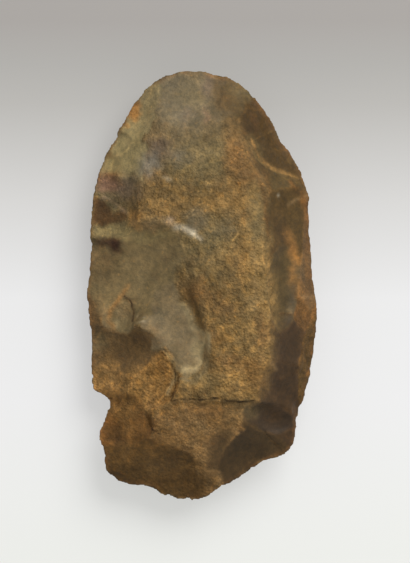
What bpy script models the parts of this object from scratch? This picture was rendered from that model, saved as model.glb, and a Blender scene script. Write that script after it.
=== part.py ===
"""Flint axe head, knapped on both faces from one stone.

It lies on its rounder face: +Y runs to the broad cutting end, +Z up through the ridge, and the origin is
under the middle of the box around it, on the surface that it lies on. A blank with the stone's outline is
worked down by flakes, each one a shallow dish cut that starts at a point on the margin, as the knapper did.
"""

import math
import random

import bmesh
import bpy
from mathutils import Vector

# Driving dimensions, in metres
LENGTH = 0.160
WIDTH = 0.0858
THICKNESS = 0.036
FLAT_DEPTH = 0.0012

# The drawing grid: the stone is 86 steps wide, 160 long and 37 thick. The tables below use its steps.
GRID_WIDE = 86
GRID_LONG = 160
GRID_THICK = 37

# Fineness of the blank: steps from one outline point to the next, rings from the margin to the middle of each
# face, and how much closer the rings lie towards the margin
STEPS_BETWEEN_POINTS = 3
BLANK_RINGS = 8
RING_CROWDING = 1.3

# Width of the facets in the hollow of a scar
UPPER_FACET = 4.5
UNDER_FACET = 8.0
EDGE_FACET = 2.4

# The outline seen from above, clockwise from the cutting end, and the highest and lowest points inside it
OUTLINE = [
    (-5, 80.2), (4, 78.9), (10.5, 77.2), (17.8, 71.8), (22.8, 65.6), (27.1, 59.8), (29.8, 53.2), (35.3, 46.2),
    (37.6, 39.7), (40.1, 33.8), (39.4, 28), (40.3, 15), (41.5, 2), (43.1, -8), (42.1, -19), (40.1, -33),
    (37.5, -43.1), (34.9, -50.5), (35.1, -55.7), (31.1, -62.3), (22.1, -65.8), (14.1, -71.3), (6, -76.1),
    (0, -79.1), (-6, -80.2), (-13.1, -79.3), (-20.2, -74.9), (-29.1, -74), (-35.4, -70), (-36.5, -62),
    (-38.6, -55), (-35.8, -48.5), (-35.3, -42.8), (-39.8, -40.4), (-41.4, -34), (-41.3, -20), (-43.1, -2),
    (-41.6, 9), (-41.6, 24), (-39.5, 39.6), (-35.3, 50.1), (-29.3, 61.2), (-22.7, 71.7), (-15.1, 77.8),
]
CROWN = (12, -4)
BASE = (1, -5)

# Height of the margin at the middle of the stone, its climb to the right, and its wave along the stone
MARGIN_MIDDLE = 15
MARGIN_CLIMB = 0.0375
MARGIN_WAVE = 0.7
MARGIN_WAVE_STRETCH = 13

# The plateau of the upper face: its height, where it is highest, how it bends down across and along the
# stone, and how it falls to the left. Then how full the profile of each face is out towards the margin
PLATEAU_HEIGHT = 37
PLATEAU_PEAK = (16, -8)
PLATEAU_BEND = (0.0011, 0.0015)
PLATEAU_FALL = 0.04
UPPER_FULLNESS = 3.4
UNDER_FULLNESS = 2.6

# Upper face, from the first scar struck to the last: contact point, heading and rise in degrees, length,
# width, hollow, and height of the contact point above the margin
UPPER_FLAKES = [
    # cutting end
    (-9, 79.5, 286, 29, 27, 30, 1.3, 0.4),
    (4, 78.8, 262, 32, 22, 18, 1.2, 0.3),
    (13, 75, 232, 38, 14, 14, 1.0, 0.3),
    # left side, down from the cutting end
    (-38, 48, -20, 35, 16, 38, 1.3, 0.5),
    (-27, 66, -33, 36, 10, 26, 0.9, 0.4),
    (-40, 37.5, -8, 33, 15, 12, 1.2, 0),
    (-42, 2.5, 9, 27, 39, 26, 1.9, 0),
    (-19.5, 6, -67, 1, 38, 17, 1.2, 14.7),
    (-41.5, -24.5, -2, 28, 23, 15, 2.0, 0.2),
    (-41, -34.5, 0, 31, 14, 15, 1.3, 0.2),
    (-28, -38, 33, 17, 18.5, 19, 1.6, 8.7),
    (-41.5, 27.5, -6, 27, 15, 16, 1.1, -0.2),
    (-42.8, -10, 0, 42, 8, 17, 0.9, 0),
    (-35.3, -12.5, 32, 21, 12, 11, 1.1, 3.3),
    # middle of the plateau
    (-10, 13, 38, 7, 24, 15, 1.2, 17.2),
    # right side: the long steep scars first, then the short ones at the margin
    (40, 28, 180, 44, 21, 35, 1.6, 1.3),
    (42.5, -22, 180, 44, 21, 28, 1.7, 3.3),
    (37.2, 6, 178, 35, 11.5, 38, 2.8, 7.3),
    (38, -42.5, 166, 44, 21, 19, 1.6, 1.6),
    (41, 5, 180, 58, 9, 24, 0.7, 0),
    (43, -8.5, 178, 50, 11, 12, 0.9, 0),
    (42.6, -18, 180, 60, 9, 16, 0.6, -0.1),
    (41.2, -30, 178, 60, 8, 18, 0.6, -0.1),
    (38.6, -41, 172, 58, 7, 15, 0.6, -0.2),
    (40, 23, 180, 60, 6, 26, 0.5, -0.1),
    (32, 50, 217, 46, 16, 20, 1.4, 0.4),
    (23, 65.5, 216, 46, 13, 21, 1.0, 0.3),
]

# The broad scar that ended in a step across the butt, and how square its end is. Every other scar is round
STEP_FLAKE = (2, -80, 92, 25, 37, 62, 1.0, -0.1)
STEP_SQUARENESS = 5
ROUND = 2

# Upper face at the butt, struck after the step
BUTT_FLAKES = [
    (-37.5, -65, 14, 32, 13, 17, 1.0, 0),
    (-37.5, -51, 6, 29, 17, 15, 1.6, 0),
    (29.5, -51.5, 166, 35, 14, 9, 1.4, 2.8),
    (35.5, -57, 158, 33, 17, 14, 1.3, 0),
    (17.5, -70, 118, 33, 17, 36, 1.5, -0.1),
    (-18, -77.5, 87, 29, 21.5, 44, 1.8, 0),
]

# How far past its own length and width a dish is carried, as a share of them, so that it runs out through the
# surface. The step scar stops short instead
DISH_REACH = 1.3
STEP_REACH = 1.0
EDGE_REACH = 1.6

# How much further a dish runs behind its contact point, so that it leaves no crumb on the margin, and how far
# its lid is above its deepest line
OVERRUN = 3
LID_HEIGHT = 30

# Under face: plain scars round the margin
UNDER_FLAKES = 13
UNDER_RISE = (23, 28)
UNDER_LENGTH = (34, 40)
UNDER_WIDTH = (32, 40)
UNDER_HOLLOW = (1.0, 1.6)
UNDER_SEED = 13

# Small edge scars along the margin of each face, steeper along the steep right side
UPPER_EDGE_SCARS = 38
UNDER_EDGE_SCARS = 16
EDGE_RISE = (38, 50)
STEEP_EDGE_RISE = (62, 68)
STEEP_SIDE = 20
STEEP_TOP = 45
EDGE_LENGTH = (3.0, 5.5)
EDGE_WIDTH = (5.0, 9.0)
EDGE_HOLLOW = (0.35, 0.6)
EDGE_DROP = (0.1, 0.6)
EDGE_SEED = 12

STONE_COLOUR = (0.32, 0.25, 0.15, 1)
STONE_ROUGHNESS = 0.62


def clear_scene():
    for thing in list(bpy.data.objects):
        bpy.data.objects.remove(thing, do_unlink=True)


def new_collection(name):
    collection = bpy.data.collections.new(name)
    bpy.context.scene.collection.children.link(collection)
    return collection


def to_metres(x, y, z):
    """A place on the drawing grid, as a place on the stone."""
    return Vector((x * WIDTH / GRID_WIDE, y * LENGTH / GRID_LONG, z * THICKNESS / GRID_THICK))


def between(points, position):
    """The smooth closed curve through the points, where a whole position is a point of the list."""
    count = len(points)
    start = math.floor(position)
    t = position - start
    before, here, there, after = (Vector(points[(start + i) % count]) for i in (-1, 0, 1, 2))
    return 0.5 * (
        2 * here
        + (there - before) * t
        + (2 * before - 5 * here + 4 * there - after) * t**2
        + (3 * here - before - 3 * there + after) * t**3
    )


def latitude(vertex):
    """How far a vertex of the unit sphere is from its equator, from 0 there to 1 at a pole."""
    return abs(math.asin(max(-1, min(1, vertex.co.z)))) / (math.pi / 2)


def margin_height(x, y):
    """Height of the edge, which waves and rises to the right."""
    return MARGIN_MIDDLE + MARGIN_CLIMB * x + MARGIN_WAVE * math.sin(y / MARGIN_WAVE_STRETCH)


def upper_height(x, y, share):
    """Height of the blank's upper face, where share is 0 at the crown and 1 at the margin."""
    edge = margin_height(x, y)
    across = x - PLATEAU_PEAK[0]
    along = y - PLATEAU_PEAK[1]
    bend = PLATEAU_BEND[0] * across**2 + PLATEAU_BEND[1] * along**2
    plateau = PLATEAU_HEIGHT - bend - PLATEAU_FALL * max(-across, 0)
    return edge + (plateau - edge) * math.sqrt(max(1 - share**UPPER_FULLNESS, 0))


def under_height(x, y, share):
    """Height of the blank's under face, before the flat spot is cut."""
    edge = margin_height(x, y)
    lowest = -FLAT_DEPTH * GRID_THICK / THICKNESS
    return edge + (lowest - edge) * (1 - share**UNDER_FULLNESS)


def make_blank(collection):
    """The stone before knapping: a sphere whose rings are drawn out to the outline."""
    segments = STEPS_BETWEEN_POINTS * len(OUTLINE)
    form = bmesh.new()
    bmesh.ops.create_uvsphere(form, u_segments=segments, v_segments=2 * BLANK_RINGS, radius=1)
    for vertex in form.verts:
        is_upper = vertex.co.z > 0
        middle = Vector(CROWN if is_upper else BASE)
        turn = math.atan2(vertex.co.y, vertex.co.x) / math.tau % 1
        share = 1 - latitude(vertex) ** RING_CROWDING
        rim = between(OUTLINE, -turn * len(OUTLINE))
        place = middle + (rim - middle) * share
        height = upper_height if is_upper else under_height
        vertex.co = to_metres(place.x, place.y, height(place.x, place.y, share))
    mesh = bpy.data.meshes.new("flint_axe")
    form.to_mesh(mesh)
    form.free()
    blank = bpy.data.objects.new("flint_axe", mesh)
    collection.objects.link(blank)
    return blank


def make_dish(name, flake, side, collection, facet, reach=DISH_REACH, squareness=ROUND):
    """A cutter shaped like a lidded dish. Side is 1 for a scar of the upper face, -1 for the under face."""
    x, y, heading, rise, length, width, hollow, height = flake
    height += margin_height(x, y)
    radius = reach * (length + width) / 4
    spokes = max(8, 2 * round(math.pi * radius / facet))
    rings = max(2, round(radius / facet))
    form = bmesh.new()
    bmesh.ops.create_uvsphere(form, u_segments=spokes, v_segments=2 * rings, radius=1)
    along = Vector((math.cos(math.radians(heading)), math.sin(math.radians(heading))))
    across = Vector((-along.y, along.x))
    slope = math.tan(math.radians(rise))
    for vertex in form.verts:
        around = math.atan2(vertex.co.y, vertex.co.x)
        is_lid = vertex.co.z * side > 1e-6
        out = 1 - latitude(vertex)
        if is_lid:
            out *= rings / (rings - 1)
        ahead, aside = math.cos(around), math.sin(around)
        rim = reach * (abs(ahead) ** squareness + abs(aside) ** squareness) ** (-1 / squareness)
        forward = rim * out * ahead
        sideways = rim * out * aside
        travel = (1 + forward) * length / 2 + min(forward, 0) * OVERRUN
        place = Vector((x, y)) + along * travel + across * (sideways * width / 2)
        depth = slope * travel + hollow * ((2 * travel / length - 1) ** 2 + sideways**2 - 1)
        if is_lid:
            depth = slope * length + LID_HEIGHT
        vertex.co = to_metres(place.x, place.y, height + side * depth)
    mesh = bpy.data.meshes.new(name)
    form.to_mesh(mesh)
    form.free()
    dish = bpy.data.objects.new(name, mesh)
    dish.hide_render = True
    dish.display_type = "WIRE"
    collection.objects.link(dish)
    return dish


def cut(stone, cutter):
    """Takes the cutter's shape out of the stone.

    Neighbouring scars graze each other at flat angles. The exact solver sometimes loses the whole body there,
    and the manifold solver doesn't.
    """
    modifier = stone.modifiers.new(cutter.name, "BOOLEAN")
    modifier.operation = "DIFFERENCE"
    modifier.solver = "MANIFOLD"
    modifier.object = cutter


def inward(position, reach):
    """Heading in degrees of a blow square to the margin, which is smoothed over the reach to each side."""
    run = between(OUTLINE, position + reach) - between(OUTLINE, position - reach)
    return math.degrees(math.atan2(-run.x, run.y))


def knap_upper_face(stone, cutters):
    for number, flake in enumerate(UPPER_FLAKES):
        cut(stone, make_dish(f"upper_scar_{number}", flake, 1, cutters, UPPER_FACET))
    cut(stone, make_dish("step_scar", STEP_FLAKE, 1, cutters, UPPER_FACET, STEP_REACH, STEP_SQUARENESS))
    for number, flake in enumerate(BUTT_FLAKES):
        cut(stone, make_dish(f"butt_scar_{number}", flake, 1, cutters, UPPER_FACET))


def knap_under_face(stone, cutters):
    chance = random.Random(UNDER_SEED)
    spacing = len(OUTLINE) / UNDER_FLAKES
    for number in range(UNDER_FLAKES):
        position = (number + chance.uniform(-0.2, 0.2)) * spacing
        place = between(OUTLINE, position)
        flake = (
            place.x,
            place.y,
            inward(position, spacing / 2) + chance.uniform(-8, 8),
            chance.uniform(*UNDER_RISE),
            chance.uniform(*UNDER_LENGTH),
            chance.uniform(*UNDER_WIDTH),
            chance.uniform(*UNDER_HOLLOW),
            0,
        )
        cut(stone, make_dish(f"under_scar_{number}", flake, -1, cutters, UNDER_FACET))


def knap_edge(stone, cutters):
    """Small scars all round, which leave the margin finely scalloped."""
    chance = random.Random(EDGE_SEED)
    for side, count, name in ((1, UPPER_EDGE_SCARS, "upper"), (-1, UNDER_EDGE_SCARS, "under")):
        spacing = len(OUTLINE) / count
        for number in range(count):
            position = (number + chance.uniform(-0.3, 0.3)) * spacing
            place = between(OUTLINE, position)
            steep = side > 0 and place.x > STEEP_SIDE and place.y < STEEP_TOP
            flake = (
                place.x,
                place.y,
                inward(position, spacing / 2) + chance.uniform(-14, 14),
                chance.uniform(*(STEEP_EDGE_RISE if steep else EDGE_RISE)),
                chance.uniform(*EDGE_LENGTH),
                chance.uniform(*EDGE_WIDTH),
                chance.uniform(*EDGE_HOLLOW),
                -side * chance.uniform(*EDGE_DROP),
            )
            dish = make_dish(f"{name}_edge_{number}", flake, side, cutters, EDGE_FACET, EDGE_REACH)
            cut(stone, dish)


def cut_flat_spot(stone, cutters):
    """A level spot under the middle, which the stone lies on."""
    form = bmesh.new()
    bmesh.ops.create_cube(form, size=1)
    mesh = bpy.data.meshes.new("flat_spot")
    form.to_mesh(mesh)
    form.free()
    block = bpy.data.objects.new("flat_spot", mesh)
    block.scale = (2 * WIDTH, 2 * LENGTH, THICKNESS)
    block.location = (0, 0, -THICKNESS / 2)
    block.hide_render = True
    block.display_type = "WIRE"
    cutters.objects.link(block)
    cut(stone, block)


def flint_material():
    material = bpy.data.materials.new("ochre_flint")
    material.use_nodes = True
    shader = material.node_tree.nodes["Principled BSDF"]
    shader.inputs["Base Color"].default_value = STONE_COLOUR
    shader.inputs["Roughness"].default_value = STONE_ROUGHNESS
    shader.inputs["Metallic"].default_value = 0
    return material


def main():
    clear_scene()
    axe = new_collection("flint_axe")
    cutters = new_collection("cutters")
    cutters.hide_render = True
    stone = make_blank(axe)
    stone.data.materials.append(flint_material())
    knap_upper_face(stone, cutters)
    knap_under_face(stone, cutters)
    knap_edge(stone, cutters)
    cut_flat_spot(stone, cutters)


main()
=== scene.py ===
"""Looks of the knapped flint axe: its fine surface, its patina and crust, the light and the camera."""
import math
import random

import bpy
import numpy as np
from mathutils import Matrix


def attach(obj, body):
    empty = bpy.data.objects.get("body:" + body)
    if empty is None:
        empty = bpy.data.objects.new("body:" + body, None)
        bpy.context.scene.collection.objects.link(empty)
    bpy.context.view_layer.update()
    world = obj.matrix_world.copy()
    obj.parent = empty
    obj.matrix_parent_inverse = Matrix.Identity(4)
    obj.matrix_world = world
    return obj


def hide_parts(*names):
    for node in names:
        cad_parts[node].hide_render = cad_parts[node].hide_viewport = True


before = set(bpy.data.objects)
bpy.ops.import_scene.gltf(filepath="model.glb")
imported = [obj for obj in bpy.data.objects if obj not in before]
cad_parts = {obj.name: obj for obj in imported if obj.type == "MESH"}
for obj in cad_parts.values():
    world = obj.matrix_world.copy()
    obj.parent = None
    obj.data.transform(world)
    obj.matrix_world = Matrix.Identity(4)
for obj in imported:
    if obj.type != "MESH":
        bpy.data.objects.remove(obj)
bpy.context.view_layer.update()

# The stone's sizes in millimetres, and the drawing grid that its scars are given on, as in the part's source
LENGTH = 160.0
WIDTH = 85.8
THICKNESS = 36.0
FLAT_DEPTH = 1.2
GRID_WIDE = 86
GRID_LONG = 160
GRID_THICK = 37
GRID = np.array((WIDTH / GRID_WIDE, LENGTH / GRID_LONG, THICKNESS / GRID_THICK))
CROWN = (12, -4)
BASE = (1, -5)

# The blank's margin and its two faces on the drawing grid, as in the part's source
MARGIN_MIDDLE = 15
MARGIN_CLIMB = 0.0375
MARGIN_WAVE = 0.7
MARGIN_WAVE_STRETCH = 13
PLATEAU_HEIGHT = 37
PLATEAU_PEAK = (16, -8)
PLATEAU_BEND = (0.0011, 0.0015)
PLATEAU_FALL = 0.04
UPPER_FULLNESS = 3.4
UNDER_FULLNESS = 2.6

# Where two hollows meet: the step that slopes are measured over, the least and greatest change of slope, the
# furthest that a border is told apart, and the height that stands for no hollow
SLOPE_STEP = 0.05
MIN_TURN = 1e-6
MAX_TURN = 5
MAX_BORDER = 50
NO_HOLLOW = 1000.0

# Millimetres in a metre, as the scene is in metres
METRE = 1000

# The fine mesh in millimetres: its spacing, how near points are welded first, and how far the remesh draws
# the thin margin in, which is given back
FINE_SPACING = 0.61
WELD_REACH = 0.01
MARGIN_LOSS = 0.45

# Where the fine mesh is drawn to the smooth scars: above the margin, off the solid's facets and above the
# ground, all in millimetres, and how level the face is. It is drawn fully at the second number of each
DRAWN_ABOVE = (0.3, 1.5)
DRAWN_OFF = (0.75, 0.45)
DRAWN_LIFT = (0.1, 0.6)
DRAWN_LEVEL = (0.1, 0.25)

# How often and how strongly the mesh and the paint are smoothed, and the mesh again at the soft spots
MESH_SMOOTHING = (2, 0.45)
PAINT_SMOOTHING = (2, 0.5)
SOFT_SMOOTHING = (55, 0.6)

# The finest relief in millimetres: coarse and fine lumps, pits and terraces of the crust, the swell of every
# face and its finer part, and the wear of the borders
COARSE_LUMPS = 1.1
FINE_LUMPS = 0.55
PITS = 0.35
TERRACES = 0.22
SWELL = 0.45
FINE_SWELL = 0.07
WEAR = 0.25

# The photograph's frame: one step is 0.373 mm at the height of the stone's edge
STEP = 0.373
FRAME_MIDDLE = (205.0, 281.5)
CAMERA_PLACE = (1.12, 1.49)
EDGE_HEIGHT = 15.0
CAMERA_DISTANCE = 1000.0
FRAME_LONG = 210.0
SENSOR = 24

# A soft lamp like a window, its place and size in metres, and the even light from all round
WINDOW_PLACE = (0.6, 0.9, 1.0)
WINDOW_SIZE = 1.2
WINDOW_POWER = 25.0
ROOM_LIGHT = 0.58

# The floor gives back one share of its colour and glows with another, a painted light that keeps the
# shadow faint. Its painted shade, darker towards the cutting end, runs from just beyond the butt to just
# beyond the cutting end: place from 0 to 1, and colour
FLOOR_LIT = 0.43
FLOOR_GLOW = 0.66
FLOOR_REACH = 0.10
FLOOR_PAINTED_SHADE = [
    (0.0, (220, 221, 217)),
    (0.285, (220, 220, 220)),
    (0.475, (217, 217, 217)),
    (0.66, (198, 197, 195)),
    (0.845, (170, 168, 164)),
    (0.92, (161, 159, 155)),
    (1.0, (154, 150, 146)),
]

# The outline on the drawing grid, clockwise from the cutting end as seen from above, as in the part's source
OUTLINE = [
    (-5, 80.2), (4, 78.9), (10.5, 77.2), (17.8, 71.8), (22.8, 65.6), (27.1, 59.8), (29.8, 53.2), (35.3, 46.2),
    (37.6, 39.7), (40.1, 33.8), (39.4, 28), (40.3, 15), (41.5, 2), (43.1, -8), (42.1, -19), (40.1, -33),
    (37.5, -43.1), (34.9, -50.5), (35.1, -55.7), (31.1, -62.3), (22.1, -65.8), (14.1, -71.3), (6, -76.1),
    (0, -79.1), (-6, -80.2), (-13.1, -79.3), (-20.2, -74.9), (-29.1, -74), (-35.4, -70), (-36.5, -62),
    (-38.6, -55), (-35.8, -48.5), (-35.3, -42.8), (-39.8, -40.4), (-41.4, -34), (-41.3, -20), (-43.1, -2),
    (-41.6, 9), (-41.6, 24), (-39.5, 39.6), (-35.3, 50.1), (-29.3, 61.2), (-22.7, 71.7), (-15.1, 77.8),
]

# Finishes: colour as seen in the photograph's light, how crusty, how shiny
FINISHES = {
    "crust": (136, 109, 66, 1.0, 0.0),
    "orange crust": (140, 106, 64, 1.0, 0.0),
    "olive crust": (122, 108, 74, 0.75, 0.1),
    "golden crust": (155, 118, 66, 1.0, 0.0),
    "ridge crust": (158, 128, 78, 1.0, 0.0),
    "grey olive": (115, 102, 76, 0.35, 0.4),
    "olive": (112, 98, 64, 0.2, 0.5),
    # Painted light: olive painted lighter to stand for light on the band's left-facing slope
    "lit olive band": (158, 140, 94, 0.15, 0.6),
    "olive grey": (128, 110, 74, 0.15, 0.6),
    "dark olive": (110, 86, 52, 0.4, 0.4),
    "pale": (132, 114, 82, 0.15, 0.5),
    # Painted highlight: pale made brighter for the lit rims of the pale scar and for a small glint
    "pale highlight": (190, 170, 125, 0.15, 0.5),
    "bluish": (130, 124, 110, 0.2, 0.5),
    # Painted highlight: glints and a bright crescent where light catches the scars
    "cream highlight": (240, 226, 196, 0.2, 0.4),
    # Painted highlight: pinkish light along a few arrises and steps
    "pale pink highlight": (204, 176, 144, 0.2, 0.4),
    "purple pink": (150, 114, 90, 0.4, 0.3),
    "purple grey": (116, 98, 84, 0.3, 0.4),
    "dark brown": (84, 58, 30, 0.3, 0.4),
    "dark red": (54, 32, 20, 0.4, 0.3),
    "red brown": (124, 84, 40, 0.5, 0.3),
    "orange": (188, 134, 70, 0.5, 0.3),
    "brown orange": (168, 128, 74, 0.9, 0.1),
    "lit brown": (108, 78, 42, 0.6, 0.2),
    "tan": (156, 122, 76, 0.9, 0.0),
    "light tan": (172, 144, 100, 0.6, 0.2),
    "brown": (94, 70, 32, 0.5, 0.4),
    "margin olive": (98, 78, 50, 0.4, 0.5),
    "dark grey": (68, 50, 28, 0.05, 0.8),
    "slate": (88, 72, 42, 0.05, 0.8),
    "steep olive": (90, 72, 38, 0.3, 0.6),
    "steep dark": (84, 64, 30, 0.15, 0.7),
    "top dark": (74, 54, 20, 0.2, 0.6),
    "top brown": (92, 70, 36, 0.3, 0.5),
    "blue black": (68, 54, 38, 0.05, 0.8),
    "butt brown": (88, 64, 28, 0.4, 0.5),
    "butt grey": (78, 60, 34, 0.05, 0.8),
    "shade": (40, 30, 20, 0.5, 0.1),
    # Pale lines along arrises: partly real wear, partly painted highlight
    "worn highlight": (158, 128, 88, 0.2, 0.4),
    "rim": (128, 90, 52, 0.4, 0.3),
}

# How much brighter the light makes a level face than the colour that the stone itself has
LIGHT_ON_STONE = 1.66

# How far the red, green and blue of the paint go up and down with ochre lumps, wide clouds and smaller spots
LUMP_TONE = (0.34, 0.29, 0.20)
CLOUD_TONE = (0.46, 0.36, 0.20)
SPOT_TONE = (1.0, 1.0, 1.15)

# What the material's finest marks multiply the red, green and blue beneath them by
OCHRE_LUMPS = (1.30, 1.20, 1.02)
DARK_HOLLOWS = (0.74, 0.71, 0.66)
# Bright flecks on the crust: partly pale grains, partly painted glints on the grain tips
BRIGHT_FLECKS_AND_GLINTS = (1.95, 1.80, 1.55)
FAINT_FLECKS = (1.42, 1.36, 1.28)
WARM_SPECKS = (1.45, 1.25, 1.0)
DARK_VEINS = (0.80, 0.78, 0.80)
RUBBED_BORDERS = (1.7, 1.6, 1.5)
# Pale hairline ridges: partly wear, partly painted highlight
PALE_HAIRLINE_WEAR_AND_HIGHLIGHT = (1.52, 1.47, 1.40)
# Painted shade in the hairline cracks and under small steps
SHADED_HAIRLINES = (0.30, 0.27, 0.25)

# How far borders wander and fray, in steps: those of patches and areas, then lines, ledges and hairlines
BORDER_WANDER = 8
BORDER_FRAY = 9
LINE_WANDER = 1.5
LEDGE_WANDER = 3
HAIRLINE_WANDER = 1.6

# Upper face, from the first scar struck to the last: contact point, heading and rise in degrees, length,
# width, hollow, height of the contact point above the margin, and finish
UPPER_SCARS = [
    (-9, 79.5, 286, 29, 27, 30, 1.3, 0.4, "grey olive"),
    (4, 78.8, 262, 32, 22, 18, 1.2, 0.3, "grey olive"),
    (13, 75, 232, 38, 14, 14, 1.0, 0.3, "olive"),
    # The lit olive band carries painted light on the left-facing slopes
    (-38, 48, -20, 35, 16, 38, 1.3, 0.5, "lit olive band"),
    (-27, 66, -33, 36, 10, 26, 0.9, 0.4, "lit olive band"),
    (-40, 37.5, -8, 33, 15, 12, 1.2, 0, "olive crust"),
    (-42, 2.5, 9, 27, 39, 26, 1.9, 0, "olive grey"),
    (-19.5, 6, -67, 1, 38, 17, 1.2, 14.7, "pale"),
    (-41.5, -24.5, -2, 28, 23, 15, 2.0, 0.2, "dark olive"),
    (-41, -34.5, 0, 31, 14, 15, 1.3, 0.2, "brown orange"),
    (-28, -38, 33, 17, 18.5, 19, 1.6, 8.7, "golden crust"),
    (-41.5, 27.5, -6, 27, 15, 16, 1.1, -0.2, "olive crust"),
    (-42.8, -10, 0, 42, 8, 17, 0.9, 0, "dark olive"),
    (-35.3, -12.5, 32, 21, 12, 11, 1.1, 3.3, "olive grey"),
    (-10, 13, 38, 7, 24, 15, 1.2, 17.2, "olive crust"),
    (40, 28, 180, 44, 21, 35, 1.6, 1.3, "steep dark"),
    (42.5, -22, 180, 44, 21, 28, 1.7, 3.3, "dark grey"),
    (37.2, 6, 178, 35, 11.5, 38, 2.8, 7.3, "slate"),
    (38, -42.5, 166, 44, 21, 19, 1.6, 1.6, "dark grey"),
    (41, 5, 180, 58, 9, 24, 0.7, 0, "margin olive"),
    (43, -8.5, 178, 50, 11, 12, 0.9, 0, "lit brown"),
    (42.6, -18, 180, 60, 9, 16, 0.6, -0.1, "brown"),
    (41.2, -30, 178, 60, 8, 18, 0.6, -0.1, "brown"),
    (38.6, -41, 172, 58, 7, 15, 0.6, -0.2, "brown"),
    (40, 23, 180, 60, 6, 26, 0.5, -0.1, "margin olive"),
    (32, 50, 217, 46, 16, 20, 1.4, 0.4, "steep olive"),
    (23, 65.5, 216, 46, 13, 21, 1.0, 0.3, "top dark"),
]
STEP_SCAR = (2, -80, 92, 25, 37, 62, 1.0, -0.1, "tan")
BUTT_SCARS = [
    (-37.5, -65, 14, 32, 13, 17, 1.0, 0, "butt brown"),
    (-37.5, -51, 6, 29, 17, 15, 1.6, 0, "red brown"),
    (29.5, -51.5, 166, 35, 14, 9, 1.4, 2.8, "blue black"),
    (35.5, -57, 158, 33, 17, 14, 1.3, 0, "dark grey"),
    (17.5, -70, 118, 33, 17, 36, 1.5, -0.1, "butt grey"),
    (-18, -77.5, 87, 29, 21.5, 44, 1.8, 0, "butt brown"),
]

# The rim of a scar: how square it is, how far it runs on behind the contact point, and how far it reaches as
# a share of the scar's half length and half width
ROUND = 2
SQUARE = 5
OVERRUN = 3
DISH_REACH = 1.3
STEP_REACH = 1.0
EDGE_REACH = 1.6

# Under face: how many scars, the spread of their rise, length, width and hollow, and how far one strays along
# the margin and swings off the straight way in
UNDER_SCARS = 13
UNDER_SPREAD = ((23, 28), (34, 40), (32, 40), (1.0, 1.6))
UNDER_STRAY = 0.2
UNDER_SWING = 8
UNDER_SEED = 13
UNDER_FINISHES = ("olive", "dark olive", "grey olive", "brown", "olive grey")

# Small edge scars, as in the source: how many on each face, their rise, greater along the steep side, the
# spread of their length, width and hollow, and how far one drops from the margin, strays and swings
EDGE_COUNTS = ((1, 38), (-1, 16))
EDGE_RISE = (38, 50)
STEEP_EDGE_RISE = (62, 68)
STEEP_SIDE = 20
STEEP_TOP = 45
EDGE_SPREAD = ((3.0, 5.5), (5.0, 9.0), (0.35, 0.6))
EDGE_DROP = (0.1, 0.6)
EDGE_STRAY = 0.3
EDGE_SWING = 14
EDGE_SEED = 12

# Borders that more than one of the tables below uses, in steps of the photograph's frame
PALE_RIM = (
    (183, 305), (190, 315), (194, 328), (207, 335), (205, 345), (201, 355), (203, 364), (195, 369),
    (183, 370),
)
LOWER_RIM = ((153, 348), (163, 350), (170, 358), (174, 368), (175, 378), (167, 393))
SHORT_CRACK = ((124, 296), (131, 302), (134, 312), (133, 322))
LEFT_STEP = ((103, 197), (113, 202), (127, 213))
RIGHT_STEP = ((279, 314), (292, 314))
BUTT_STEP = ((145, 412), (150, 425), (155, 432), (175, 440))

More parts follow.
